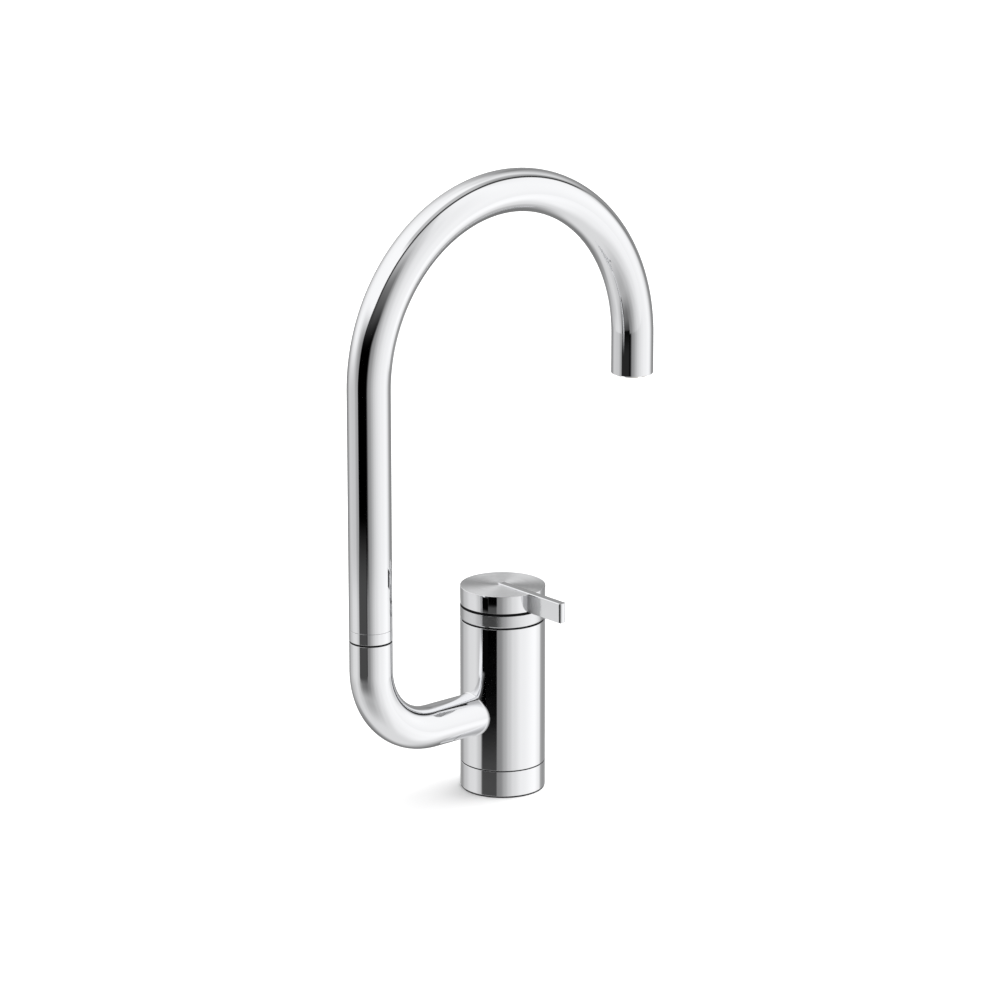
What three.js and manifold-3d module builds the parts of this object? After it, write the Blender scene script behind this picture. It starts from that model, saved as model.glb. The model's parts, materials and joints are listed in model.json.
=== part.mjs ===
// Deck-mounted kitchen faucet: a round valve column with a tilting cap lever,
// a side pipe that bends up into a riser, and a gooseneck spout that swings on it.
// Millimetres. Z = 0 is the worktop, the valve column stands on the origin,
// the spout outlet lies along +X and the lever points along -Y.
import * as THREE from 'three';
import { mergeVertices } from 'three/addons/utils/BufferGeometryUtils.js';
import Module from 'manifold-3d';

const wasm = await Module();
wasm.setup();

// ---------------------------------------------------------------- driving sizes
const CLEAR = 0.3; // gap between two pieces that are cut to each other
const ROUND = 40; // sides of a large round piece
const MEDIUM = 28; // sides of a medium round piece
const SMALL = 16; // sides of a small round piece

const COLUMN_R = 27;
const COLUMN_WALL = 3;
const GASKET_TOP = 0.95;
const BASE_BOTTOM = 1.1;
const BASE_TOP = 17.5;
const SHELL_BOTTOM = 18.2;
const SHELL_TOP = 111.8;
const DOME_BOTTOM = 112.7;
const DOME_RIM = 120.6;
const CAP_RIM = 122.0;
const CAP_TOP = 133.6;

const PIVOT_Z = 97; // centre of the lever's tilt, on the column's axis
const LIFT = THREE.MathUtils.degToRad(18); // full lift of the lever
const HUB_R = 8;
const RECESS_R = 20; // hollow under the cap, around the hub
const RECESS_Z = 129.6;
const LEVER_REACH = 57.8;
const LEVER_THICKNESS = 5.2;
const LEVER_BOTTOM = 122.9;
const LEVER_TOP = CAP_TOP + 1.1; // the blade stands a little proud of the cap
const SCREW_Z = 126.8; // height of the set screw that holds the handle

const PIPE_R = 13.5;
const PIPE_BORE_R = 11.5;
const PIPE_Z = 53; // axis of the side pipe where it leaves the column
const PIPE_START = 16.8; // distance from the column's axis to the pipe's inner end
const RISER_X = -107.6;
const ELBOW_R = 47.4;
const ELBOW_TOP = 118.85;
const COLLAR_BOTTOM = 120;
const COLLAR_TOP = 127;
const SPOUT_BOTTOM = 127.2;
const ARCH_Z = 278.3;
const ARCH_R = 108.5;
const OUTLET_Z = 253.4;

const SHANK_R = 16.2;
const SHANK_BORE_R = 12.5;
const SHANK_BOTTOM = -62;
const SHANK_TOP = 33.7;
const DECK = 30; // worktop that the drawing clamps
const FLANGE_R = 27;
const NUT_BORE_R = 16.8;

const CAVITY_R = 17.8; // bore of the valve body that takes the cartridge
const CAVITY_FLOOR = 70;
const CARTRIDGE_R = 17.3;
const INLETS = [[-6.2, -3.5], [6.2, -3.5]]; // hot and cold water ways
const OUTLET = [0, 5.8]; // mixed water way
const INLET_R = 4.2;
const OUTLET_R = 4.4;

const capSphere = Math.hypot(COLUMN_R, CAP_RIM - PIVOT_Z);
const domeSphere = Math.hypot(COLUMN_R, DOME_RIM - PIVOT_Z);

// ---------------------------------------------------------------- materials
const material = (color, metalness, roughness) =>
  new THREE.MeshStandardMaterial({ color, metalness, roughness });
const chrome = () => material(0xd6d8da, 1, 0.08);
const brass = () => material(0xb8964f, 0.9, 0.32);
const steel = () => material(0x9a9c9e, 0.9, 0.38);
const rubber = () => material(0x17171a, 0, 0.85);
const acetal = () => material(0x22242a, 0, 0.45);
const nylon = () => material(0xd9d6cc, 0, 0.55);
const ceramic = () => material(0xf1efe9, 0, 0.35);

// ---------------------------------------------------------------- shape helpers
function solidOf(geometry) {
  const bare = geometry.clone();
  bare.deleteAttribute('normal');
  bare.deleteAttribute('uv');
  const merged = mergeVertices(bare, 1e-4);
  return new wasm.Manifold(new wasm.Mesh({
    numProp: 3,
    vertProperties: Float32Array.from(merged.attributes.position.array),
    triVerts: Uint32Array.from(merged.index.array),
  }));
}

function geometryOf(solid) {
  const mesh = solid.getMesh();
  const geometry = new THREE.BufferGeometry();
  geometry.setAttribute('position', new THREE.BufferAttribute(mesh.vertProperties, 3));
  geometry.setIndex(new THREE.BufferAttribute(mesh.triVerts, 1));
  geometry.computeVertexNormals();
  return geometry;
}

function cut(geometry, ...tools) {
  return geometryOf(tools.reduce((left, tool) => left.subtract(solidOf(tool)), solidOf(geometry)));
}

// A turned piece about +Z from an outline of [radius, height] points.
// The outline closes on itself, or starts and ends on the axis.
function turned(outline, sides = ROUND) {
  const points = outline.map(([r, z]) => new THREE.Vector2(r, z));
  const open = points[0].x === 0 && points.at(-1).x === 0;
  if (THREE.ShapeUtils.area(points) < 0) points.reverse();
  if (!open) points.push(points[0].clone());
  const geometry = new THREE.LatheGeometry(points, sides);
  return geometry.rotateX(Math.PI / 2);
}

// A plain ring between two radii and two heights.
function ring(inner, outer, bottom, top, sides = ROUND) {
  return turned([[inner, bottom], [outer, bottom], [outer, top], [inner, top]], sides);
}

function rodZ(r, bottom, top, x = 0, y = 0, sides = SMALL) {
  return new THREE.CylinderGeometry(r, r, top - bottom, sides)
    .rotateX(Math.PI / 2)
    .translate(x, y, (bottom + top) / 2);
}

function rodX(r, from, to, y, z, sides = SMALL) {
  return new THREE.CylinderGeometry(r, r, to - from, sides)
    .rotateZ(Math.PI / 2)
    .translate((from + to) / 2, y, z);
}

function rodY(r, from, to, x, z, sides = SMALL) {
  return new THREE.CylinderGeometry(r, r, to - from, sides).translate(x, (from + to) / 2, z);
}

function block([x0, x1], [y0, y1], [z0, z1]) {
  return new THREE.BoxGeometry(x1 - x0, y1 - y0, z1 - z0)
    .translate((x0 + x1) / 2, (y0 + y1) / 2, (z0 + z1) / 2);
}

// A pipe of the spout's section along a path.
function pipe(path, steps) {
  const section = new THREE.Shape().absarc(0, 0, PIPE_R, 0, Math.PI * 2);
  section.holes.push(new THREE.Path().absarc(0, 0, PIPE_BORE_R, 0, Math.PI * 2, true));
  return new THREE.ExtrudeGeometry(section, { steps, curveSegments: 10, extrudePath: path });
}

// A quarter or half turn in the XZ plane, by angle about its centre.
class Bend extends THREE.Curve {
  constructor(x, z, r, from, to) {
    super();
    Object.assign(this, { x, z, r, from, to });
  }
  getPoint(t, target = new THREE.Vector3()) {
    const angle = this.from + (this.to - this.from) * t;
    return target.set(this.x + this.r * Math.cos(angle), 0, this.z + this.r * Math.sin(angle));
  }
}

const straight = (x0, z0, x1, z1) =>
  new THREE.LineCurve3(new THREE.Vector3(x0, 0, z0), new THREE.Vector3(x1, 0, z1));

function route(...curves) {
  const path = new THREE.CurvePath();
  curves.forEach((curve) => path.add(curve));
  return path;
}

// Points of a sphere's profile about the tilt centre, between two radii from the axis.
function sphereProfile(radius, fromR, toR, pieces) {
  const start = Math.asin(fromR / radius);
  const end = Math.asin(toR / radius);
  return Array.from({ length: pieces + 1 }, (_, i) => {
    const angle = start + ((end - start) * i) / pieces;
    return [radius * Math.sin(angle), PIVOT_Z + radius * Math.cos(angle)];
  });
}

function addPart(group, name, geometry, finish) {
  const mesh = new THREE.Mesh(geometry, finish);
  mesh.name = name;
  group.add(mesh);
}

// ---------------------------------------------------------------- bodies
const group = new THREE.Group();
const column = new THREE.Group();
const riser = new THREE.Group();
const temperatureCarrier = new THREE.Group();
const handle = new THREE.Group();
const discSlider = new THREE.Group();
const spout = new THREE.Group();
riser.position.x = RISER_X;
spout.position.x = RISER_X;
group.add(column, riser, temperatureCarrier, spout);
temperatureCarrier.add(handle, discSlider);

// ---------------------------------------------------------------- base and column
function buildColumn() {
  addPart(column, 'base_gasket', ring(17.5, COLUMN_R - 0.4, 0, GASKET_TOP), rubber());

  const baseWall = COLUMN_R - COLUMN_WALL;
  addPart(column, 'base_ring', turned([
    [NUT_BORE_R, BASE_TOP - 4], [baseWall, BASE_TOP - 4], [baseWall, BASE_BOTTOM],
    [COLUMN_R, BASE_BOTTOM], [COLUMN_R, BASE_TOP], [NUT_BORE_R, BASE_TOP],
  ]), chrome());
  addPart(column, 'body_seal',
    ring(17.2, COLUMN_R - 0.7, BASE_TOP + 0.15, SHELL_BOTTOM - 0.15), rubber());

  const shell = ring(COLUMN_R - COLUMN_WALL, COLUMN_R, SHELL_BOTTOM, SHELL_TOP);
  const pipeHole = rodX(PIPE_R + 0.4, -COLUMN_R - 2, -15, 0, PIPE_Z, MEDIUM);
  addPart(column, 'body_shell', cut(shell, pipeHole), chrome());
}

function buildValveBody() {
  const outer = COLUMN_R - COLUMN_WALL - 0.5;
  const top = 107.8;
  const nutSeat = 103.9;
  const socketR = SHANK_R + 0.4;
  const socketTop = SHANK_TOP + CLEAR;
  const portBoss = socketTop - 1; // raised face that the supply hoses screw into
  const sealSeat = -15.4;
  const portY = 7.5;
  const casting = turned([
    [0, portBoss], [SHANK_BORE_R - 0.4, portBoss], [SHANK_BORE_R - 0.4, socketTop],
    [socketR, socketTop], [socketR, SHELL_BOTTOM + 0.1],
    [outer, SHELL_BOTTOM + 0.1], [outer, top], [21.2, top], [21.2, nutSeat],
    [CAVITY_R, nutSeat], [CAVITY_R, CAVITY_FLOOR], [0, CAVITY_FLOOR],
  ]);
  const waterWays = INLETS.map(([x, y]) => rodZ(INLET_R, portBoss - 1, CAVITY_FLOOR + 1, x, y));
  addPart(column, 'valve_body', cut(
    casting, ...waterWays,
    rodZ(OUTLET_R, PIPE_Z - 3, CAVITY_FLOOR + 1, ...OUTLET),
    rodX(5, sealSeat - 1, 3, portY, PIPE_Z),
    rodX(PIPE_R + 0.4, -COLUMN_R, sealSeat, 0, PIPE_Z, MEDIUM),
  ), brass());

  const seal = ring(9.5, 13, -PIPE_START + CLEAR, sealSeat - CLEAR, MEDIUM)
    .rotateY(Math.PI / 2)
    .translate(0, 0, PIPE_Z);
  addPart(column, 'outlet_seal', seal, rubber());
}

function buildSidePipe() {
  const bendX = RISER_X + ELBOW_R;
  const bendZ = PIPE_Z + ELBOW_R;
  const path = route(
    straight(-PIPE_START, PIPE_Z, bendX, PIPE_Z),
    new Bend(bendX, bendZ, ELBOW_R, -Math.PI / 2, -Math.PI),
    straight(RISER_X, bendZ, RISER_X, ELBOW_TOP),
  );
  addPart(column, 'side_elbow', pipe(path, 14), chrome());
}

// ---------------------------------------------------------------- clamping under the worktop
function buildMounting() {
  addPart(column, 'mounting_shank',
    ring(SHANK_BORE_R, SHANK_R, SHANK_BOTTOM, SHANK_TOP, MEDIUM), brass());
  addPart(column, 'deck_rubber_washer', ring(NUT_BORE_R, FLANGE_R, -DECK - 3, -DECK), rubber());
  const steelTop = -DECK - 3.3;
  const steelBottom = steelTop - 1.6;
  addPart(column, 'deck_steel_washer', ring(NUT_BORE_R, FLANGE_R, steelBottom, steelTop), steel());

  const flangeTop = -38;
  const flangeBottom = -44;
  const nutBottom = -54;
  const acrossFlats = 40;
  const hexagon = new THREE.CylinderGeometry(
    acrossFlats / Math.sqrt(3), acrossFlats / Math.sqrt(3), flangeTop - nutBottom, 6)
    .rotateX(Math.PI / 2)
    .rotateZ(Math.PI / 2)
    .translate(0, 0, (flangeTop + nutBottom) / 2);
  const flange = rodZ(FLANGE_R, flangeBottom, flangeTop, 0, 0, ROUND);
  const screwR = 2.3;
  const screwY = 23;
  const blank = geometryOf(solidOf(hexagon).add(solidOf(flange)));
  const holes = [-screwY, screwY].map((y) =>
    rodZ(screwR + CLEAR, flangeBottom - 1, flangeTop + 1, 0, y));
  const bore = rodZ(NUT_BORE_R, nutBottom - 1, flangeTop + 1, 0, 0, MEDIUM);
  addPart(column, 'mounting_nut', cut(blank, bore, ...holes), brass());

  [['jack_screw_front', -screwY], ['jack_screw_rear', screwY]].forEach(([name, y]) => {
    const screw = turned([
      [0, -53], [screwR + 0.5, -53], [screwR + 0.5, -49.5], [screwR, -49.5],
      [screwR, steelBottom - CLEAR], [0, steelBottom - CLEAR],
    ], SMALL);
    addPart(column, name, screw.translate(0, y, 0), steel());
  });
}

// ---------------------------------------------------------------- ceramic cartridge
function buildCartridge() {
  const waterHoles = (inletR, outletR, bottom, top) => [
    ...INLETS.map(([x, y]) => rodZ(inletR, bottom - 1, top + 1, x, y)),
    rodZ(outletR, bottom - 1, top + 1, ...OUTLET),
  ];
  const disc = (r, bottom, top, sides = MEDIUM) => rodZ(r, bottom, top, 0, 0, sides);

  const sealTop = CAVITY_FLOOR + 1.7;
  addPart(column, 'cartridge_base_seal',
    cut(disc(16.5, CAVITY_FLOOR + CLEAR, sealTop), ...waterHoles(3.6, 3.8, CAVITY_FLOOR, sealTop)),
    rubber());

  const baseBottom = sealTop + CLEAR;
  const baseTop = baseBottom + 2;
  const housingTop = 103.6;
  const housingBoreR = 15.3;
  const housing = turned([
    [0, baseBottom], [CARTRIDGE_R, baseBottom], [CARTRIDGE_R, housingTop],
    [housingBoreR, housingTop], [housingBoreR, baseTop], [0, baseTop],
  ], MEDIUM);
  addPart(column, 'cartridge_housing',
    cut(housing, ...waterHoles(3.6, 3.8, baseBottom, baseTop)), nylon());

  const fixedBottom = baseTop + CLEAR;
  const fixedTop = fixedBottom + 4;
  addPart(column, 'ceramic_disc_fixed',
    cut(disc(14.9, fixedBottom, fixedTop), ...waterHoles(2.9, 3.4, fixedBottom, fixedTop)),
    ceramic());

  const movingBottom = fixedTop + CLEAR;
  const movingTop = movingBottom + 3.8;
  const mixingPocket = block([-5.5, 5.5], [0.5, 8.5], [movingBottom - 1, movingBottom + 2]);
  addPart(discSlider, 'ceramic_disc_moving',
    cut(disc(11.2, movingBottom, movingTop), mixingPocket), ceramic());

  const driverBottom = movingTop + CLEAR;
  const driverTop = driverBottom + 4.8;
  const pocketFloor = driverBottom + 1.3;
  addPart(discSlider, 'disc_driver', turned([
    [0, driverBottom], [10.5, driverBottom], [10.5, driverTop],
    [3.1, driverTop], [3.1, pocketFloor], [0, pocketFloor],
  ], MEDIUM), acetal());

  addPart(column, 'cartridge_nut', ring(13.4, 20.8, 104.2, 109.4), brass());
}

// ---------------------------------------------------------------- turning dome under the cap
function buildTemperatureCarrier() {
  addPart(column, 'glide_ring', turned([
    [22.2, 108.4], [23.6, 108.4], [23.6, 112.05], [25.9, 112.05],
    [25.9, 112.45], [23.6, 112.45], [23.6, 118], [22.2, 118],
  ]), acetal());

  const glideR = 26.4; // edge of the black cap under the lever, let into the ring's lip
  const lipR = glideR + 0.2;
  const domeFlatR = 24.8;
  const domeBand = sphereProfile(domeSphere, glideR, domeFlatR, 2);
  const domeTop = domeBand.at(-1)[1];
  const plateBottom = domeTop - 3.3;
  const shelf = plateBottom - 0.2;
  addPart(temperatureCarrier, 'dome_ring', turned([
    [COLUMN_R - 2.9, DOME_BOTTOM], [COLUMN_R, DOME_BOTTOM], [COLUMN_R, DOME_RIM],
    [lipR, DOME_RIM], [lipR, shelf], [COLUMN_R - 2.9, shelf],
  ]), chrome());

  const plate = turned([[0, plateBottom], [glideR, plateBottom], ...domeBand, [0, domeTop]]);
  const swing = (domeTop - PIVOT_Z) * Math.tan(LIFT) + HUB_R / Math.cos(LIFT);
  const hubSlot = block([-HUB_R - 0.7, HUB_R + 0.7], [-HUB_R - 1, swing + 0.6],
    [plateBottom - 1, domeTop + 1]);
  addPart(temperatureCarrier, 'cap_glide', cut(plate, hubSlot), acetal());

  const rotor = turned([
    [0, 90.5], [14.8, 90.5], [14.8, 103.3], [13, 103.3], [13, 109.8], [0, 109.8],
  ], MEDIUM);
  const pinR = 1.5;
  addPart(temperatureCarrier, 'spindle_carrier', cut(
    rotor,
    block([-4.4, 4.4], [-8, 9.5], [89, 111]),
    rodX(pinR + CLEAR, -16, 16, 0, PIVOT_Z),
  ), nylon());
  addPart(temperatureCarrier, 'spindle_pin', rodX(pinR, -13.8, 13.8, 0, PIVOT_Z), steel());
}

// ---------------------------------------------------------------- cap and lever
function buildHandle() {
  const hubBottom = 114.2;
  const edge = 0.5;
  const underside = sphereProfile(capSphere, COLUMN_R, RECESS_R, 4);
  const cap = turned([
    [0, hubBottom], [HUB_R, hubBottom], [HUB_R, RECESS_Z], [RECESS_R, RECESS_Z],
    ...underside.reverse(), [COLUMN_R, CAP_TOP - edge], [COLUMN_R - edge, CAP_TOP], [0, CAP_TOP],
  ]);
  const halfSlot = LEVER_THICKNESS / 2 + CLEAR;
  const heel = -20.5; // where the lever's root steps up over the hub
  const tongueBottom = 131;
  const rootEnd = 1.8;
  const spindleR = 4;
  const spindleTop = 129;
  addPart(handle, 'handle_cap', cut(
    cap,
    rodZ(spindleR + CLEAR, hubBottom - 1, spindleTop + CLEAR, 0, 0, 24),
    block([-halfSlot, halfSlot], [-COLUMN_R - 1, rootEnd], [tongueBottom, CAP_TOP + 1]),
    block([-halfSlot, halfSlot], [-COLUMN_R - 1, heel], [CAP_RIM - 1, CAP_TOP + 1]),
    rodY(2.2, RECESS_R - 1, COLUMN_R + 1, 0, SCREW_Z),
    rodY(2.3, 3, HUB_R + 1, 0, SCREW_Z),
  ), chrome());

  const heelEnd = -heel + 0.4;
  const rootCurve = sphereProfile(capSphere + 0.1, COLUMN_R + 0.2, heelEnd, 4);
  const profile = new THREE.Shape([
    [-LEVER_REACH + 0.4, LEVER_BOTTOM], ...rootCurve.map(([r, z]) => [-r, z]),
    [-heelEnd, tongueBottom + CLEAR], [rootEnd - CLEAR, tongueBottom + CLEAR],
    [rootEnd - CLEAR, LEVER_TOP], [-LEVER_REACH + 0.4, LEVER_TOP],
    [-LEVER_REACH, LEVER_TOP - 0.4], [-LEVER_REACH, LEVER_BOTTOM + 0.4],
  ].map(([y, z]) => new THREE.Vector2(y, z)));
  const blade = new THREE.ExtrudeGeometry(profile, { depth: LEVER_THICKNESS, bevelEnabled: false })
    .rotateX(Math.PI / 2)
    .rotateZ(Math.PI / 2)
    .translate(-LEVER_THICKNESS / 2, 0, 0);
  addPart(handle, 'lever_blade', blade, chrome());

  const spindle = turned([
    [0, 84.6], [1.8, 84.6], [2.6, 86], [2.2, 87.4], [2.2, 90.5],
    [spindleR, 92.3], [spindleR, spindleTop], [0, spindleTop],
  ], 24);
  addPart(handle, 'spindle', cut(spindle, rodX(1.8, -6, 6, 0, PIVOT_Z)), steel());
  addPart(handle, 'handle_set_screw', rodY(1.95, spindleR + CLEAR, HUB_R - 0.3, 0, SCREW_Z), steel());
  addPart(handle, 'set_screw_plug', rodY(1.85, 24.6, COLUMN_R - 0.2, 0, SCREW_Z), acetal());
}

// ---------------------------------------------------------------- swivel between riser and spout
function buildSwivel() {
  const neckR = 9;
  const grooveR = 7.9;
  const ringGrooves = [125.5, 131];
  const ringGroove = 2.6;
  const clipGroove = [137, 138.4];
  const groove = (from, to) =>
    [[neckR, from], [grooveR, from], [grooveR, to], [neckR, to]];
  addPart(riser, 'swivel_spigot', turned([
    [7, 101.5], [11.1, 101.5], [11.1, 118.4], [neckR, 118.4],
    ...ringGrooves.flatMap((z) => groove(z, z + ringGroove)),
    ...groove(...clipGroove), [neckR, 139.5], [7, 139.5],
  ], MEDIUM), brass());

  ['spigot_o_ring_lower', 'spigot_o_ring_upper'].forEach((name, i) => {
    const middle = ringGrooves[i] + ringGroove / 2;
    const section = Array.from({ length: 8 }, (_, k) => [
      9.1 + 0.95 * Math.cos((k * Math.PI) / 4), middle + 0.95 * Math.sin((k * Math.PI) / 4),
    ]);
    addPart(riser, name, turned(section, 24), rubber());
  });

  addPart(riser, 'spout_glide_washer',
    ring(9.3, PIPE_R - 0.3, ELBOW_TOP + 0.15, COLLAR_BOTTOM - 0.15, MEDIUM), acetal());
  const clip = ring(8.2, 11, clipGroove[0] + 0.2, clipGroove[1] - 0.2, MEDIUM);
  addPart(riser, 'spigot_retaining_clip',
    cut(clip, block([0, 13], [-3.5, 3.5], [clipGroove[0] - 1, clipGroove[1] + 1])), steel());
}

function buildSpout() {
  const sleeveR = 11.1;
  const boreR = 10.4;
  addPart(spout, 'spout_collar', turned([
    [boreR, COLLAR_BOTTOM], [PIPE_R, COLLAR_BOTTOM], [PIPE_R, COLLAR_TOP],
    [sleeveR, COLLAR_TOP], [sleeveR, 136.6], [boreR, 136.6],
  ], MEDIUM), chrome());
  addPart(spout, 'spout_bearing_sleeve', ring(9.3, boreR - 0.3, 120.4, 124.6, MEDIUM), acetal());

  const path = route(
    straight(0, SPOUT_BOTTOM, 0, ARCH_Z),
    new Bend(ARCH_R, ARCH_Z, ARCH_R, Math.PI, 0),
    straight(2 * ARCH_R, ARCH_Z, 2 * ARCH_R, OUTLET_Z),
  );
  addPart(spout, 'spout_tube', pipe(path, 40), chrome());
}

function buildAerator() {
  const tip = new THREE.Group();
  tip.position.x = 2 * ARCH_R;
  spout.add(tip);

  const rim = OUTLET_Z - 1;
  const housingTop = OUTLET_Z + 12.6;
  const notches = Array.from({ length: 3 }, (_, i) =>
    block([-12, 12], [-1.6, 1.6], [rim - 1, rim + 0.8]).rotateZ((i * Math.PI) / 3));
  addPart(tip, 'aerator_housing',
    cut(ring(9.5, 11.1, rim, housingTop, MEDIUM), ...notches), brass());

  const jets = Array.from({ length: 6 }, (_, i) => {
    const angle = (i * Math.PI) / 3;
    return rodZ(1.7, rim, housingTop, 5.4 * Math.cos(angle), 5.4 * Math.sin(angle), 10);
  });
  addPart(tip, 'aerator_cartridge', cut(
    rodZ(9.2, OUTLET_Z + 0.8, OUTLET_Z + 11, 0, 0, MEDIUM),
    ...jets, rodZ(1.7, rim, housingTop, 0, 0, 10),
  ), nylon());
  addPart(tip, 'aerator_washer',
    ring(8, 11.1, housingTop + CLEAR, housingTop + 2.3, MEDIUM), rubber());
}

buildColumn();
buildValveBody();
buildSidePipe();
buildMounting();
buildCartridge();
buildTemperatureCarrier();
buildHandle();
buildSwivel();
buildSpout();
buildAerator();

export default group;
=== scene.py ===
"""Looks of the kitchen faucet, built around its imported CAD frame. Metres, +Z up."""
import json
import math

import bpy
import numpy as np
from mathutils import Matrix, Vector


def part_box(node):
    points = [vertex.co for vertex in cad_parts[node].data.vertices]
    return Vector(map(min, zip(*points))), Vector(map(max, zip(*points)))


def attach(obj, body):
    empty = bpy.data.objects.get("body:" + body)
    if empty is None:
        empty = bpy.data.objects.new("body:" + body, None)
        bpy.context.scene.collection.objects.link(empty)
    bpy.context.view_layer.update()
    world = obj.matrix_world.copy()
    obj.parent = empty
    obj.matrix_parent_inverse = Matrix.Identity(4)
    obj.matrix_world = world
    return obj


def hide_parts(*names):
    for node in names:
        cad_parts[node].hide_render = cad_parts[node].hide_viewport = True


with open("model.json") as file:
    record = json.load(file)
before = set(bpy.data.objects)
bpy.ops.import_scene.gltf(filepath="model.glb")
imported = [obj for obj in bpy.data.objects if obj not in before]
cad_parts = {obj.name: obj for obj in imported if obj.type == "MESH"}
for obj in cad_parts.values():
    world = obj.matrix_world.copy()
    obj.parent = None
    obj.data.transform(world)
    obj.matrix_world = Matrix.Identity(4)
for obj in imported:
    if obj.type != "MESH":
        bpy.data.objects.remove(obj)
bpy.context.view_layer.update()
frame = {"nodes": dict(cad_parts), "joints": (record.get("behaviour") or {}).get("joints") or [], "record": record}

MM = 0.001
FINE = 192      # sides of the large chrome pieces
MEDIUM = 96     # sides of washers and wide bores
SMALL = 48      # sides of screws and small bores
EDGE = 0.12 * MM    # the least rounding on any corner

# ---------- sizes from the frame


def middle(node):
    low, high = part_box(node)
    return (low + high) / 2


def radius(node):
    low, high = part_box(node)
    return (high.y - low.y) / 2


def span_z(node):
    low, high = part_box(node)
    return low.z, high.z


COLUMN_R = radius("body_shell")
PIPE_R = radius("spout_tube")
PIPE_WALL = 2 * MM
ELBOW_R = 47.4 * MM
RISER_X = middle("spout_collar").x
OUTLET_X = middle("aerator_housing").x
ARCH_R = (OUTLET_X - RISER_X) / 2
SPOUT_BOTTOM, SPOUT_TOP = span_z("spout_tube")
OUTLET_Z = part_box("aerator_cartridge")[0].z - 0.8 * MM
ARCH_Z = SPOUT_TOP - PIPE_R - ARCH_R
PIPE_Z = span_z("side_elbow")[0] + PIPE_R
ELBOW_TOP = span_z("side_elbow")[1]
PIVOT_Z = frame["joints"][1]["pos_m"][2]
CAP_TOP = span_z("handle_cap")[1]
CAP_BAND = 11.6 * MM     # height of the cap's outer wall
CAP_GAP = 1.4 * MM       # height of the gap under it
CAP_RIM = CAP_TOP - CAP_BAND
DOME_RIM = CAP_RIM - CAP_GAP
CLAMP_BORE = 16.8 * MM   # hole of the washers and the nut on the shank

# ---------- outlines
# An outline is a list of (radius, height, outward normal) along a turned piece's profile.

FILLET_STEP = 15.0      # degrees between the points of a fillet
FILLET_ROOM = 0.45      # the largest share of a side that a fillet takes
SMOOTH_TURN = 12.0      # a corner that turns by fewer degrees is shaded smooth instead


def unit(a):
    return a / np.linalg.norm(a)


def outline(corners, closed=True):
    """Rounds corners (r, z, fillet), listed with the material on their left, into points."""
    points = []
    count = len(corners)
    for i, corner in enumerate(corners):
        here = np.array(corner[:2], float)
        fillet = corner[2] if len(corner) > 2 else EDGE
        before = np.array(corners[i - 1][:2], float)
        after = np.array(corners[(i + 1) % count][:2], float)
        if not closed and i in (0, count - 1):
            along = unit(after - here) if i == 0 else unit(here - before)
            points.append((*here, along[1], -along[0]))
            continue
        first, second = unit(here - before), unit(after - here)
        turn = math.atan2(first[0] * second[1] - first[1] * second[0], first @ second)
        room = FILLET_ROOM * min(np.linalg.norm(here - before), np.linalg.norm(after - here))
        normal = np.array([first[1], -first[0]])
        if abs(turn) < math.radians(SMOOTH_TURN):
            points.append((*here, *unit(normal + np.array([second[1], -second[0]]))))
            continue
        reach = min(fillet * math.tan(abs(turn) / 2), room)
        bend = math.copysign(reach / math.tan(abs(turn) / 2), turn)
        centre = here - first * reach - normal * bend
        pieces = max(2, math.ceil(math.degrees(abs(turn)) / FILLET_STEP))
        for k in range(pieces + 1):
            angle = turn * k / pieces
            c, s = math.cos(angle), math.sin(angle)
            n = np.array([c * normal[0] - s * normal[1], s * normal[0] + c * normal[1]])
            points.append((*(centre + n * bend), *n))
    return np.array(points)


def refine(points, longest):
    """Adds points so that no stretch of the closed outline is longer than that."""
    result = []
    for here, after in zip(points, np.roll(points, -1, axis=0)):
        pieces = max(1, math.ceil(np.linalg.norm(after[:2] - here[:2]) / longest))
        result += [here + (after - here) * k / pieces for k in range(pieces)]
    return np.array(result)


def ring_outline(inner, outer, bottom, top, fillet=EDGE):
    return outline([(inner, bottom, fillet), (outer, bottom, fillet),
                    (outer, top, fillet), (inner, top, fillet)])


# ---------- meshes


class Track:
    """A line in the XZ plane, made of straight stretches and bends, measured by its length."""

    def __init__(self, x, z, heading, moves):
        self.pieces = []
        position, angle, start = np.array([x, z]), math.radians(heading), 0.0
        for length, bend in moves:
            self.pieces.append((start, position, angle, bend))
            position, angle = self.along(position, angle, bend, length)
            start += length

    @staticmethod
    def along(position, angle, bend, length):
        if bend == 0:
            return position + length * np.array([math.cos(angle), math.sin(angle)]), angle
        end = angle + bend * length
        arc = np.array([math.sin(end) - math.sin(angle), math.cos(angle) - math.cos(end)])
        return position + arc / bend, end

    def at(self, s):
        start, position, angle, bend = [p for p in self.pieces if p[0] <= max(s, 0.0)][-1]
        (x, z), angle = self.along(position, angle, bend, s - start)
        tangent = np.array([math.cos(angle), 0, math.sin(angle)])
        side = np.cross((0, 1, 0), tangent)
        return np.array([x, 0, z]), side, np.array([0, 1.0, 0]), tangent


def straight(origin, side, other, tangent):
    """A straight axis, which an outline's height runs along."""
    origin, side, other, tangent = (np.array(v, float) for v in (origin, side, other, tangent))

    def at(s):
        return origin + tangent * s, side, other, tangent
    return at


def upright(x=0.0, y=0.0):
    """A vertical axis, where an outline's height is its real height."""
    return straight((x, y, 0), (1, 0, 0), (0, 1, 0), (0, 0, 1))


def lying(origin, direction):
    tangent = unit(np.array(direction, float))
    side = unit(np.cross(tangent, (0.3, 0.2, 0.93)))
    return straight(origin, side, np.cross(tangent, side), tangent)


def angles_around(sides):
    return np.arange(sides) * 2 * math.pi / sides


def unit_circle(sides):
    angles = angles_around(sides)
    return np.stack([np.cos(angles), np.sin(angles), 0 * angles], 1)


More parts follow.
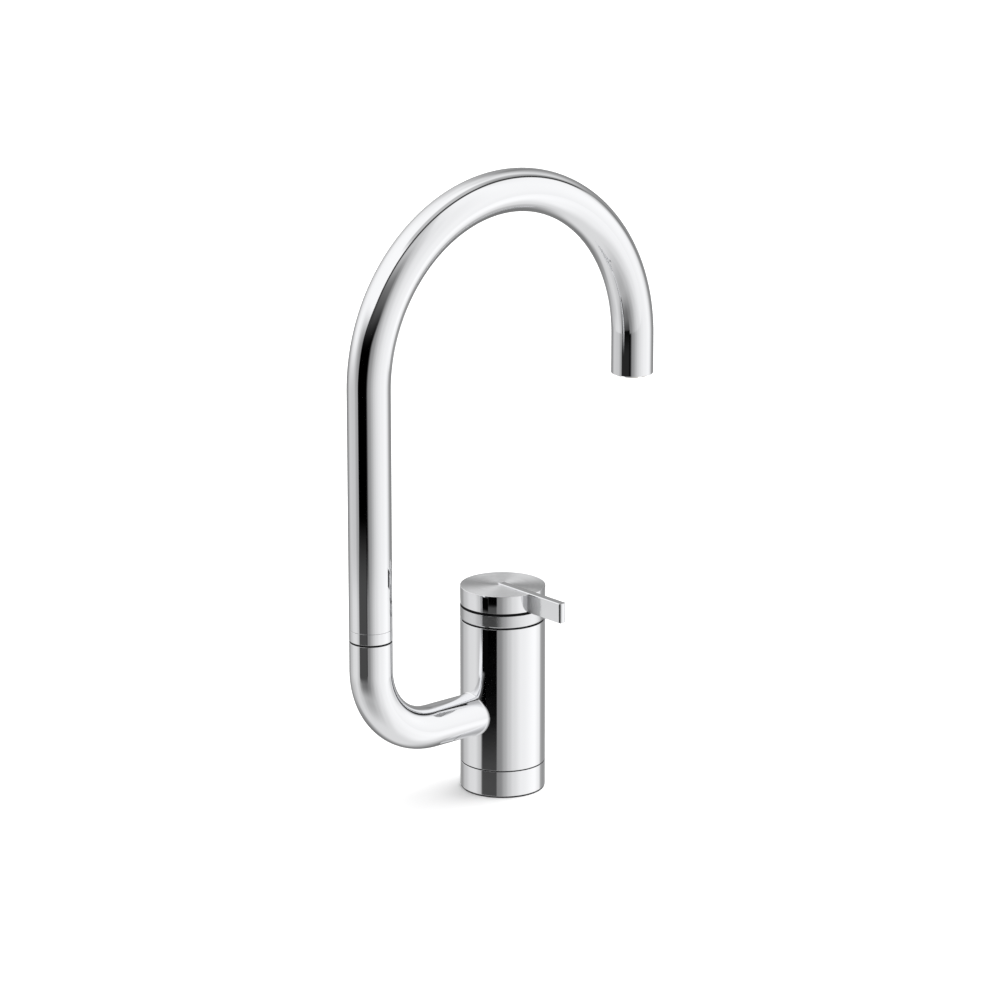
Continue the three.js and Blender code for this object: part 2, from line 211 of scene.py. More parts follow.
def mesh_piece(name, vertices, faces, normals=None):
    mesh = bpy.data.meshes.new(name)
    mesh.from_pydata([tuple(v) for v in vertices], [], faces)
    mesh.shade_smooth()
    if normals is not None:
        mesh.normals_split_custom_set_from_vertices([tuple(n) for n in normals])
    piece = bpy.data.objects.new(name, mesh)
    bpy.context.scene.collection.objects.link(piece)
    return piece


def grid_piece(name, rings, closed=True):
    """Joins rings of (points, normals) into a surface. A ring of one point is a pole."""
    vertices, normals, faces, starts = [], [], [], []
    for ring, ring_normals in rings:
        starts.append(len(vertices))
        vertices += list(ring)
        normals += list(ring_normals)
    count = len(rings)
    for i in range(count if closed else count - 1):
        a, b = starts[i], starts[(i + 1) % count]
        na, nb = len(rings[i][0]), len(rings[(i + 1) % count][0])
        for j in range(max(na, nb)):
            j2 = (j + 1) % max(na, nb)
            if na == 1:
                faces.append((a, b + j2, b + j))
            elif nb == 1:
                faces.append((a + j, a + j2, b))
            else:
                faces.append((a + j, a + j2, b + j2, b + j))
    return mesh_piece(name, vertices, faces, normals)


def ring_of(point, at, sides):
    r, s, nr, ns = point
    centre, side, other, tangent = at(s)
    if r < 1e-9:
        return np.array([centre]), np.array([tangent * math.copysign(1, ns)])
    angles = angles_around(sides)
    spokes = np.outer(np.cos(angles), side) + np.outer(np.sin(angles), other)
    return centre + r * spokes, nr * spokes + ns * tangent


def turn_piece(name, points, at=upright(), sides=FINE, closed=True):
    """Revolves an outline about an axis or along a track."""
    return grid_piece(name, [ring_of(p, at, sides) for p in points], closed)


def prism(name, shape, depth_from, depth_to, place=lambda u, v, depth: (u, v, depth)):
    """Extrudes a flat shape. place gives each corner's point."""
    count = len(shape)
    vertices = [place(u, v, d) for d in (depth_from, depth_to) for u, v in shape]
    faces = [tuple(range(count))[::-1], tuple(range(count, 2 * count))]
    faces += [(i, (i + 1) % count, count + (i + 1) % count, count + i) for i in range(count)]
    piece = mesh_piece(name, vertices, faces)
    outward(piece)
    return piece


def outward(piece):
    """Turns a closed mesh's faces outward."""
    mesh = piece.data
    volume = 0.0
    for face in mesh.polygons:
        corners = [mesh.vertices[i].co for i in face.vertices]
        for b, c in zip(corners[1:], corners[2:]):
            volume += corners[0].dot(b.cross(c))
    if volume < 0:
        mesh.flip_normals()


# ---------- cuts that keep clean shading


class Turned:
    """A turned surface that normals can be read from."""

    def __init__(self, points, at=upright(), closed=True):
        self.points = np.array(points)
        self.at = at
        self.sign = 1
        self.after = np.roll(self.points, -1, axis=0)
        if not closed:
            self.points, self.after = self.points[:-1], self.after[:-1]

    def read(self, positions):
        """Distance to the surface and its normal, at each position."""
        centre, side, other, tangent = self.at(0.0)
        local = positions - centre
        a, b, s = local @ side, local @ other, local @ tangent
        r = np.hypot(a, b)
        spokes = (np.outer(a, side) + np.outer(b, other)) / np.maximum(r, 1e-9)[:, None]
        start, end = self.points, self.after
        edge = end[:, :2] - start[:, :2]
        offset = np.stack([r, s], 1)[:, None, :] - start[None, :, :2]
        share = (offset * edge).sum(2) / np.maximum((edge * edge).sum(1), 1e-18)
        share = np.clip(share, 0, 1)
        gap = np.linalg.norm(offset - share[..., None] * edge, axis=2)
        best = gap.argmin(1)
        row = np.arange(len(r))
        t = share[row, best][:, None]
        normal = start[best, 2:] * (1 - t) + end[best, 2:] * t
        result = normal[:, :1] * spokes + normal[:, 1:] * tangent
        return gap[row, best], self.sign * result / np.linalg.norm(result, axis=1)[:, None]


def bake(piece):
    """Applies a piece's modifiers."""
    graph = bpy.context.evaluated_depsgraph_get()
    piece.data = bpy.data.meshes.new_from_object(piece.evaluated_get(graph))
    piece.modifiers.clear()


def combine(piece, others, operation):
    """Cuts, joins or intersects a piece with others, which are used up."""
    for other in others:
        modifier = piece.modifiers.new(operation, "BOOLEAN")
        modifier.operation = operation
        modifier.solver = "EXACT"
        modifier.object = other
    bake(piece)
    for other in others:
        bpy.data.objects.remove(other)


def carve(piece, cutters, surfaces):
    """Cuts a piece, then gives each face the exact normals of the surface it lies on."""
    combine(piece, cutters, "DIFFERENCE")
    read_normals(piece, surfaces)


FLAT_COST = 1.0     # above this misfit a face keeps its own flat normal
NEAR = 0.02 * MM    # distance from a surface that counts as a misfit of 1


def read_normals(piece, surfaces):
    mesh = piece.data
    mesh.shade_smooth()
    loop_vertex = np.zeros(len(mesh.loops), int)
    mesh.loops.foreach_get("vertex_index", loop_vertex)
    co = np.zeros(len(mesh.vertices) * 3)
    mesh.vertices.foreach_get("co", co)
    co = co.reshape(-1, 3)
    face_normal = np.array([f.normal for f in mesh.polygons])
    sizes = np.array([f.loop_total for f in mesh.polygons])
    face_of = np.repeat(np.arange(len(sizes)), sizes)
    positions = co[loop_vertex]
    best_cost = np.full(len(sizes), FLAT_COST)
    normals = face_normal[face_of]
    for surface in surfaces:
        distance, normal = surface.read(positions)
        cost = np.minimum(distance / NEAR, 10) + 5 * (1 - (normal * face_normal[face_of]).sum(1))
        total = np.bincount(face_of, cost) / sizes
        better = total < best_cost
        best_cost[better] = total[better]
        normals = np.where(better[face_of][:, None], normal, normals)
    mesh.normals_split_custom_set([tuple(n) for n in normals])


def turn_solid(name, corners, at=upright(), sides=FINE):
    """Revolves corners that start and end on the axis, and gives the surface for its normals."""
    points = outline(corners, closed=False)
    return turn_piece(name, points, at, sides, closed=False), Turned(points, at, closed=False)


def drill(r, at, start, end, sides=SMALL):
    """A cylinder to cut with, and its surface for the normals."""
    corners = [(0, start), (r, start, 1e-6), (r, end, 1e-6), (0, end)]
    cutter, wall = turn_solid("drill", corners, at, sides)
    wall.sign = -1
    return cutter, wall


def box_cutter(low, high):
    shape = [(low[0], low[1]), (high[0], low[1]), (high[0], high[1]), (low[0], high[1])]
    return prism("box_cutter", shape, low[2], high[2])


# ---------- node helpers


class Graph:
    """Builds a node tree by expressions."""

    def __init__(self, tree):
        self.tree = tree
        tree.nodes.clear()

    def node(self, kind, settings=None, **inputs):
        node = self.tree.nodes.new("ShaderNode" + kind)
        for key, value in (settings or {}).items():
            setattr(node, key, value)
        for key, value in inputs.items():
            self.put(node.inputs[key.replace("_", " ")], value)
        return node

    def put(self, socket, value):
        if isinstance(value, bpy.types.NodeSocket):
            self.tree.links.new(value, socket)
        elif isinstance(value, (tuple, list)) and len(value) == 3 and socket.type == "RGBA":
            socket.default_value = (*value, 1)
        else:
            socket.default_value = value

    def math(self, operation, *values):
        node = self.node("Math", {"operation": operation})
        for socket, value in zip(node.inputs, values):
            self.put(socket, value)
        return node.outputs[0]

    def product(self, *values):
        result = values[0]
        for value in values[1:]:
            result = self.math("MULTIPLY", result, value)
        return result

    def dot(self, a, b):
        node = self.node("VectorMath", {"operation": "DOT_PRODUCT"})
        self.put(node.inputs[0], a)
        self.put(node.inputs[1], b)
        return node.outputs["Value"]

    def smooth(self, value, start, end, low=0.0, high=1.0):
        """Goes smoothly from low to high as value goes from start to end."""
        node = self.node("MapRange", {"interpolation_type": "SMOOTHSTEP"})
        for index, x in enumerate((value, start, end, low, high)):
            self.put(node.inputs[index], x)
        return node.outputs[0]

    def mix(self, share, a, b, kind="FLOAT"):
        node = self.node("Mix", {"data_type": kind})
        first, result = {"FLOAT": (2, 0), "RGBA": (6, 2)}[kind]
        for index, value in ((0, share), (first, a), (first + 1, b)):
            self.put(node.inputs[index], value)
        return node.outputs[result]

    def ramp(self, value, stops):
        """A ramp over (position, value) stops."""
        node = self.node("ValToRGB")
        node.color_ramp.interpolation = "EASE"
        elements = node.color_ramp.elements
        while len(elements) < len(stops):
            elements.new(0.5)
        for element, (position, shade) in zip(elements, stops):
            element.position = position
            element.color = (shade, shade, shade, 1)
        self.put(node.inputs[0], value)
        return node.outputs[0]


# ---------- camera

CAMERA_AZIMUTH = -40.87
CAMERA_ELEVATION = 16.2
CAMERA_DISTANCE = 2.788
CAMERA_FOCAL = 159.9     # millimetres on a 36 mm wide sensor
TARGET_HEIGHT = 0.1887
TARGET_SIDE = -0.0017


def back_vector(azimuth, elevation):
    a, e = math.radians(azimuth), math.radians(elevation)
    return Vector((math.sin(a) * math.cos(e), -math.cos(a) * math.cos(e), math.sin(e)))


def make_camera():
    data = bpy.data.cameras.new("camera")
    data.sensor_fit = "HORIZONTAL"
    data.sensor_width = 36
    data.lens = CAMERA_FOCAL
    data.clip_start = 0.05
    data.clip_end = 50
    camera = bpy.data.objects.new("camera", data)
    bpy.context.scene.collection.objects.link(camera)
    back = back_vector(CAMERA_AZIMUTH, CAMERA_ELEVATION)
    a = math.radians(CAMERA_AZIMUTH)
    right = Vector((math.cos(a), math.sin(a), 0))
    camera.location = right * TARGET_SIDE + Vector((0, 0, TARGET_HEIGHT)) + back * CAMERA_DISTANCE
    camera.rotation_euler = back.to_track_quat("Z", "Y").to_euler()
    bpy.context.scene.camera = camera


# ---------- studio
# The studio is drawn in the world shader by direction: azimuth from the front of the set and
# elevation, both in degrees. Shades are display values and are made linear at the end.
# The set has a front side and a back panel, with a dark gap between them that runs overhead.
# Each table holds (elevation, [(azimuth, shade), ...]) from low to high.

FRONT = [
    (-14, [(-60, .45), (-15, .50), (-6, .52), (6, .59), (17, .70), (29, .80), (41, .86), (53, .90),
           (67, .93), (97, .96), (108, .91), (116, .81), (126, .64), (135, .54)]),
    (4, [(-60, .45), (-15, .50), (-6, .51), (6, .57), (17, .70), (29, .80), (53, .90), (81, .96),
         (106, .98), (117, .95), (126, .74), (133, .48), (150, .50)]),
    (30, [(-45, .30), (-25, .37), (3, .43), (12, .56), (21, .72), (30, .79), (47, .89), (57, .92),
          (81, .965), (115, .96)]),
    (57, [(-45, .68), (-14, .73), (15, .77), (29, .83), (41, .91), (66, .95), (85, .965), (97, .93)]),
]
BACK = [
    (-15, [(-180, .60), (-160, .50), (-144, .54), (-116, .78), (-81, .76), (-67, .63), (-50, .60),
           (126, .64), (135, .54), (146, .52), (160, .57)]),
    (8, [(-180, .56), (-165, .74), (-150, .77), (-135, .86), (-120, .93), (-105, .955), (-91, .90),
         (-80, .74), (-69, .60), (-57, .50), (126, .70), (136, .48), (147, .56), (160, .54)]),
    (30, [(-190, .50), (-165, .80), (-150, .90), (-130, .95), (-95, .965), (-45, .965),
          (123, .40), (132, .58), (140, .85), (150, .78), (160, .65)]),
    (55, [(-195, .84), (-165, .91), (-150, .94), (-110, .97), (-40, .97),
          (115, .55), (125, .60), (135, .70), (147, .90)]),
]
FLOOR = [
    (-43, [(-180, .48), (-153, .47), (-130, .58), (-109, .80), (-90, .83), (-66, .78), (-45, .69),
           (-28, .66), (-10, .67), (12, .74), (36, .84), (62, .93), (84, .96), (106, .86),
           (122, .70), (142, .49), (160, .45)]),
    (-28, [(-180, .48), (-153, .50), (-125, .70), (-103, .78), (-85, .84), (-69, .76), (-57, .56),
           (-46, .45), (-27, .42), (-10, .50), (4, .63), (23, .79), (42, .88), (67, .95), (90, .99),
           (108, .92), (126, .66), (146, .47), (160, .46)]),
    (-19, [(-180, .59), (-160, .62), (-146, .56), (-124, .74), (-97, .84), (-81, .85), (-63, .74),
           (-56, .28), (-18, .28), (-15, .50), (-6, .525), (6, .66), (17, .765), (29, .845),
           (53, .925), (97, .985), (116, .92), (130, .60), (144, .56), (160, .63)]),
]
NADIR = .84
GAP_SHADE = .24
CARD_SHADE = .01
PANEL_AZIMUTH, PANEL_ELEVATION = -137.2, 16.5     # where the back panel stands
CARD_LEFT, CARD_LEFT_HIGH = -57.0, -37.0
CARD_RIGHT, CARD_RIGHT_LOW = -9.0, -15.8
CARD_BOTTOM, HORIZON = -19.2, -17.2
BACKDROP = 1.0          # seen by the camera
PLAIN_LIGHT = .88       # falls on what doesn't mirror
MIRROR_GAIN = 1.08
DISPLAY_GAMMA = 2.2     # turns display shades into light


def azimuth_ramp(graph, azimuth_share, stops):
    placed = sorted(((azimuth % 360 + 180) % 360 / 360, shade) for azimuth, shade in stops)
    first, last = placed[0], placed[-1]
    across = (1 - last[0]) / (first[0] + 1 - last[0] + 1e-9)
    seam = last[1] + (first[1] - last[1]) * across
    return graph.ramp(azimuth_share, [(0.0, seam), *placed, (1.0, seam)])


def layers(graph, azimuth_share, elevation, ramps):
    """Blends ramps over azimuth, each meant for its own elevation, from low to high."""
    below, stops = ramps[0]
    shade = azimuth_ramp(graph, azimuth_share, stops)
    for above, stops in ramps[1:]:
        share = graph.smooth(elevation, below, above)
        shade = graph.mix(share, shade, azimuth_ramp(graph, azimuth_share, stops))
        below = above
    return shade


def make_world():
    world = bpy.data.worlds.new("studio")
    world.use_nodes = True
    world.cycles.sampling_method = "NONE"
    bpy.context.scene.world = world
    g = Graph(world.node_tree)
    direction = g.node("TexCoord").outputs["Generated"]
    a = math.radians(CAMERA_AZIMUTH)
    across = g.dot(direction, (math.cos(a), math.sin(a), 0))
    front = g.dot(direction, (math.sin(a), -math.cos(a), 0))
    up = g.dot(direction, (0, 0, 1))
    azimuth = g.product(g.math("ARCTAN2", across, front), 180 / math.pi)
    elevation = g.product(g.math("ARCSINE", up), 180 / math.pi)
    share = g.math("ADD", g.product(azimuth, 1 / 360), 0.5)

    back = layers(g, share, elevation, BACK)
    shade = layers(g, share, elevation, FRONT)
    shade = g.mix(card_share(g, azimuth, elevation), shade, CARD_SHADE)
    # how far a direction lies toward the back panel: from -1 to 1, with the gap just past 0
    beyond = g.dot(direction, tuple(back_vector(CAMERA_AZIMUTH + PANEL_AZIMUTH, PANEL_ELEVATION)))
    overhead = g.smooth(beyond, 0.28, 0.40, 0.73, 0.965)
    back = g.mix(g.smooth(elevation, 58, 70), back, overhead)
    shade = g.mix(panel_share(g, azimuth, elevation, beyond), shade, back)
    gap = g.product(g.smooth(beyond, -0.045, 0.005), g.smooth(beyond, 0.115, 0.085),
                    g.smooth(elevation, 14, 24))
    shade = g.mix(gap, shade, GAP_SHADE)
    floor = g.mix(g.smooth(elevation, -45, -76), layers(g, share, elevation, FLOOR), NADIR)
    low_card = g.product(g.smooth(azimuth, CARD_LEFT - 1.2, CARD_LEFT + 1.2),
                         g.smooth(azimuth, CARD_RIGHT_LOW + 1.2, CARD_RIGHT_LOW - 1.2),
                         g.smooth(elevation, CARD_BOTTOM - 0.6, CARD_BOTTOM + 0.6))
    floor = g.mix(low_card, floor, CARD_SHADE)
    shade = g.mix(g.smooth(elevation, HORIZON + 0.4, HORIZON - 0.4), shade, floor)
    light = g.product(g.math("POWER", shade, DISPLAY_GAMMA), MIRROR_GAIN)

    path = g.node("LightPath")
    plain = g.mix(path.outputs["Is Camera Ray"], PLAIN_LIGHT, BACKDROP)
    glossy = g.math("MAXIMUM", path.outputs["Is Glossy Ray"], path.outputs["Is Transmission Ray"])
    light = g.mix(glossy, plain, light)
    background = g.node("Background", Strength=light, Color=(1.0, 1.0, 1.0))
    output = g.node("OutputWorld", Surface=background.outputs[0])
    output.is_active_output = True


def card_share(g, azimuth, elevation):
    """A black card beside the camera, which fades out upward and to the right."""
    right = g.smooth(elevation, 6, 18, CARD_RIGHT, CARD_RIGHT + 12)
    inside = g.smooth(g.math("SUBTRACT", azimuth, right), 6, -6)
    return g.product(inside, g.smooth(elevation, 34, 4))


def panel_share(g, azimuth, elevation, beyond):
    """1 on the back panel's side of the gap, and 0 on the front side, the card included."""
    past_gap = g.smooth(beyond, 0.03, 0.09)
    # the black card leans: its left edge moves right with height
    card_left = g.smooth(elevation, 10, 45, CARD_LEFT, CARD_LEFT_HIGH)
    left_of_card = g.smooth(g.math("SUBTRACT", azimuth, card_left), 1.2, -1.2)
    beside = g.math("MAXIMUM", g.smooth(azimuth, 20, 40), g.smooth(elevation, 30, 50))
    return g.product(past_gap, g.math("MAXIMUM", left_of_card, beside))


def make_floor():
    """A pale worktop with the deck hole that the shank passes through."""
    reach = 30.0
    hole = radius("mounting_shank") + 1.3 * MM
    level = span_z("base_gasket")[0]
    up = np.tile((0.0, 0, 1), (MEDIUM, 1))
    rings = [(unit_circle(MEDIUM) * r + (0, 0, level), up) for r in (reach, hole)]
    floor = grid_piece("worktop", rings, closed=False)
    material = new_material("worktop_white")
    g = Graph(material.node_tree)
    noise = g.node("TexNoise", Scale=30.0, Detail=3.0)
    color = g.mix(noise.outputs[0], (0.93, 0.93, 0.93), (0.96, 0.96, 0.96), "RGBA")
    shader = g.node("BsdfDiffuse", Color=color, Roughness=0.4)
    g.node("OutputMaterial", Surface=shader.outputs[0])
    floor.data.materials.append(material)
    floor.visible_glossy = False


def make_reflection_card(name, tube_x, azimuth, distance, across, span, fades, shades):
    """A small dark card beside a tube, seen only in reflections and only from the tube's side.
    across and span are its limits sideways and in height, fades say how softly each one ends,
    and shades are its display shades by height."""
    toward = back_vector(CAMERA_AZIMUTH + azimuth, 0)
    side = Vector((-toward.y, toward.x, 0))
    centre = Vector((tube_x, 0, 0)) + toward * distance
    (left, right), (low, high) = across, span
    corners = [centre + side * u + Vector((0, 0, z))
               for u, z in ((left, low), (right, low), (right, high), (left, high))]
    card = mesh_piece(name, corners, [(0, 3, 2, 1)])
    material = new_material(name + "_grey")
    g = Graph(material.node_tree)
    geometry = g.node("NewGeometry")
    place = geometry.outputs["Position"]
    u = g.math("SUBTRACT", g.dot(place, tuple(side)), centre.dot(side))
    z = g.dot(place, (0, 0, 1))
    share = g.math("SUBTRACT", 1.0, geometry.outputs["Backfacing"])
    ends = ((u, left, 1), (u, right, -1), (z, low, 1), (z, high, -1))
    for (value, end, sign), fade in zip(ends, fades):
        share = g.product(share, g.smooth(value, end, end + sign * fade))
    shade = shades[0][1]
    for (below, start), (above, end) in zip(shades, shades[1:]):
        shade = g.math("ADD", shade, g.smooth(z, below, above, 0.0, end - start))
    glow = g.node("Emission", Color=(1.0, 1.0, 1.0), Strength=g.math("POWER", shade, DISPLAY_GAMMA))
    blend = g.node("MixShader")
    g.put(blend.inputs[0], share)
    g.put(blend.inputs[1], g.node("BsdfTransparent").outputs[0])
    g.put(blend.inputs[2], glow.outputs[0])
    g.node("OutputMaterial", Surface=blend.outputs[0])
    card.data.materials.append(material)
    for kind in ("camera", "diffuse", "transmission", "shadow"):
        setattr(card, "visible_" + kind, False)


def make_reflection_cards():
    make_reflection_card(
        "riser_card", RISER_X, azimuth=-38, distance=60 * MM,
        across=(-18.8 * MM, 30 * MM), span=(76 * MM, 190 * MM),
        fades=(4 * MM, 10 * MM, 8 * MM, 52 * MM), shades=[(0.0, 0.29)])
    make_reflection_card(
        "outlet_card", OUTLET_X, azimuth=-38, distance=30 * MM,
        across=(-6.8 * MM, 15.6 * MM), span=(236 * MM, 282 * MM),
        fades=(2 * MM, 5 * MM, 8 * MM, 20 * MM), shades=[(0.0, 0.17)])
    make_reflection_card(
        "column_card", 0.0, azimuth=-8, distance=28 * MM,
        across=(-12.6 * MM, -6.4 * MM), span=(80 * MM, 132 * MM),
        fades=(0.3 * MM, 0.3 * MM, 3 * MM, 0.5 * MM),
        shades=[(110 * MM, 0.06), (111 * MM, 0.29), (121.5 * MM, 0.29), (124.5 * MM, 0.05)])


def make_lights():
    """One very soft light, high on the right and a little behind."""
    data = bpy.data.lights.new("key", "SUN")
    data.angle = math.radians(66)
    data.energy = 3.1
    light = bpy.data.objects.new("key", data)
    direction = back_vector(CAMERA_AZIMUTH + 127, 55)
    light.rotation_euler = direction.to_track_quat("Z", "Y").to_euler()
    light.visible_glossy = False
    bpy.context.scene.collection.objects.link(light)


# ---------- materials


def new_material(name):
    material = bpy.data.materials.new(name)
    material.use_nodes = True
    return material


def begin(name):
    """A new material with its graph and the piece's own coordinates."""
    material = new_material(name)
    g = Graph(material.node_tree)
    return material, g, g.node("TexCoord").outputs["Object"]


def finish(g, height, depth, **inputs):
    """Ends a material with a shader whose surface has a relief."""
    relief = g.node("Bump", Height=height, Distance=depth, Strength=1.0)
    shader = g.node("BsdfPrincipled", Normal=relief.outputs[0], **inputs)
    g.node("OutputMaterial", Surface=shader.outputs[0])


def metal(name, color, rough, spread, bump, bump_scale, stretch=(1, 1, 1), tint=None, duller=None):
    """A metal with a little unevenness: its roughness varies by spread, its colour goes toward
    tint, and its grain is bump metres high. duller gives the two places along Y between which
    it grows rougher, the height it does so under, and by how much."""
    material, g, place = begin(name)
    cloud = g.node("TexNoise", Vector=place, Scale=60.0, Detail=5.0, Roughness=0.6)
    base = g.mix(g.smooth(cloud.outputs[0], 0.3, 0.7), color, tint or color, "RGBA")
    stretched = g.node("Mapping", Vector=place, Scale=stretch)
    grain = g.node("TexNoise", Vector=stretched.outputs[0], Scale=bump_scale, Detail=3.0)
    smear = g.node("TexNoise", Vector=place, Scale=22.0, Detail=6.0, Roughness=0.65)
    gloss = g.smooth(smear.outputs[0], 0.3, 0.75, rough - spread, rough + spread)
    if duller:
        outer, inner, under, extra = duller
        apart = g.node("SeparateXYZ", Vector=place)
        share = g.product(g.smooth(apart.outputs[1], outer, inner),
                          g.smooth(apart.outputs[2], under, under - 0.4 * MM), extra)
        gloss = g.math("ADD", gloss, share)
    finish(g, grain.outputs[0], bump, Base_Color=base, Roughness=gloss, Metallic=1.0)
    return material


def spun_metal(name, color, rough, pitch, depth, anisotropic):
    """Chrome over a face turned on a lathe: fine rings about the piece's own axis, which spread
    a reflection across the rings."""
    material, g, place = begin(name)
    apart = g.node("SeparateXYZ", Vector=place)
    x, y = apart.outputs[0], apart.outputs[1]
    r = g.math("SQRT", g.math("ADD", g.product(x, x), g.product(y, y)))
    line = g.node("CombineXYZ", X=g.math("DIVIDE", r, pitch))
    grooves = g.node("TexNoise", Vector=line.outputs[0], Scale=1.0, Detail=4.0, Roughness=0.75)
    bands = g.node("TexNoise", Vector=line.outputs[0], Scale=0.06, Detail=2.0)
    gloss = g.smooth(bands.outputs[0], 0.3, 0.7, rough * 0.85, rough * 1.15)
    dark = tuple(0.9 * c for c in color)
    base = g.mix(g.smooth(grooves.outputs[0], 0.35, 0.65), dark, color, "RGBA")
    tangent = g.node("Tangent", {"direction_type": "RADIAL", "axis": "Z"})
    finish(g, grooves.outputs[0], depth, Base_Color=base, Roughness=gloss, Metallic=1.0,
           Tangent=tangent.outputs[0], Anisotropic=anisotropic, Anisotropic_Rotation=0.25)
    return material


def soft_plain(name, color, second, rough, grain_scale, depth, specular=0.5, coat=0.0):
    """Rubber, plastic or ceramic: a mottled colour and a fine grain."""
    material, g, place = begin(name)
    cloud = g.node("TexNoise", Vector=place, Scale=140.0, Detail=5.0)
    base = g.mix(g.smooth(cloud.outputs[0], 0.3, 0.7), color, second, "RGBA")
    grain = g.node("TexNoise", Vector=place, Scale=grain_scale, Detail=4.0)
    gloss = g.smooth(grain.outputs[0], 0.3, 0.7, rough - 0.06, rough + 0.06)
    finish(g, grain.outputs[0], depth, Base_Color=base, Roughness=gloss,
           Specular_IOR_Level=specular, Coat_Weight=coat)
    return material


CHROME = metal("polished_chrome", (0.93, 0.935, 0.95), 0.045, 0.018, 0.0000012, 260.0)
SPUN_CHROME = spun_metal("spun_chrome", (0.96, 0.965, 0.975), 0.42, 0.16 * MM, 0.002 * MM, 0.95)
BRUSHED_CHROME = spun_metal("brushed_chrome", (0.90, 0.905, 0.92), 0.20, 0.3 * MM, 0.0005 * MM, 0.78)
SATIN_CHROME = metal("satin_chrome", (0.93, 0.935, 0.95), 0.11, 0.02, 0.000001, 900.0,
                     duller=(-41 * MM, -36 * MM, CAP_TOP + 0.3 * MM, 0.35))
BRASS = metal("machined_brass", (0.80, 0.60, 0.30), 0.27, 0.07, 0.000008, 500.0,
              (0.15, 0.15, 6), (0.66, 0.47, 0.22))
DARK_BRASS = metal("aerator_brass", (0.42, 0.36, 0.27), 0.34, 0.08, 0.00001, 600.0,
                   (0.2, 0.2, 5), (0.30, 0.26, 0.20))
STEEL = metal("zinc_plated_steel", (0.63, 0.64, 0.66), 0.36, 0.08, 0.000008, 700.0,
              (0.3, 3, 3), (0.52, 0.53, 0.56))
RUBBER = soft_plain("black_rubber", (0.012, 0.012, 0.013), (0.03, 0.03, 0.032), 0.68, 1600.0, 0.00004)
# black acetal, darker and duller than real acetal: partly its own colour, partly painted shade that keeps the gap
# under the cap black; also laid on the turning ring's chrome top lip as painted shade
ACETAL_AND_GAP_SHADE = soft_plain("black_acetal", (0.003, 0.003, 0.0035), (0.006, 0.006, 0.007), 0.42, 2600.0,
                    0.00001, specular=0.12)
NYLON = soft_plain("white_nylon", (0.80, 0.79, 0.74), (0.72, 0.71, 0.66), 0.46, 2200.0, 0.00001)
CERAMIC = soft_plain("disc_ceramic", (0.90, 0.89, 0.86), (0.84, 0.83, 0.80), 0.24, 3000.0, 0.000004,
                     coat=0.3)

SLOT_MATERIAL = {
    "chrome": CHROME, "brass": BRASS, "dark_brass": DARK_BRASS, "steel": STEEL,
    "black_rubber": RUBBER, "black_acetal": ACETAL_AND_GAP_SHADE, "white_nylon": NYLON, "disc_ceramic": CERAMIC,
}
NODE_SLOT = {part["node"]: part["material_slot"] for part in frame["record"]["subparts"]}
NODE_BODY = {node: body for body, nodes in frame["record"]["behaviour"]["bodies"].items()
             for node in nodes}


def stands_for(piece, node, *materials):
    """Gives a piece its body, its slot and its material, in place of a CAD node."""
    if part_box(node)[0].z < -1 * MM:
        # the worktop is left out of reflections, so what it would hide is left out too
        piece.visible_glossy = False
    for material in materials or (SLOT_MATERIAL[NODE_SLOT[node]],):
        if material.name not in piece.data.materials:
            piece.data.materials.append(material)
    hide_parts(node)
    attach(piece, NODE_BODY[node])


def dress_cad_nodes():
    """The sealed inner pieces stay as the CAD made them, with real materials."""
    for name, node in frame["nodes"].items():
        node.data.materials.clear()
        node.data.materials.append(SLOT_MATERIAL[NODE_SLOT[name]])


# ---------- base and column


def make_ring(name, node, bore, fillet, at=upright(), sides=FINE):
    """A plain ring in place of a CAD node."""
    low, high = span_z(node)
    points = ring_outline(bore, radius(node), low, high, fillet)
    stands_for(turn_piece(name, points, at, sides), node)


def make_base():
    make_ring("gasket", "base_gasket", radius("base_gasket") - 9 * MM, 0.3 * MM)

    low, high = span_z("base_ring")
    bore = radius("mounting_shank") + 0.6 * MM
    wall = COLUMN_R - 3 * MM
    points = outline([
        (bore, high - 4 * MM, 0.4 * MM), (wall, high - 4 * MM, 1 * MM), (wall, low, 0.3 * MM),
        (COLUMN_R, low, 0.25 * MM), (COLUMN_R, high, 0.22 * MM), (bore, high, 0.4 * MM),
    ])
    stands_for(turn_piece("foot_ring", points), "base_ring")

    seal_bore = 17.2 * MM
    make_ring("foot_seal", "body_seal", seal_bore, 0.1 * MM, sides=MEDIUM)


FLARE = 1.1 * MM     # rounding where the side pipe meets the column


def make_column():
    low, high = span_z("body_shell")
    points = ring_outline(COLUMN_R - 3 * MM, COLUMN_R, low, high, 0.22 * MM)
    shell = turn_piece("column_shell", points)
    at = lying((0, 0, PIPE_Z), (-1, 0, 0))
    cutter, wall = drill(PIPE_R + 0.05 * MM, at, 15 * MM, COLUMN_R + 5 * MM, MEDIUM)
    carve(shell, [cutter], [Turned(points), wall])
    stands_for(shell, "body_shell")


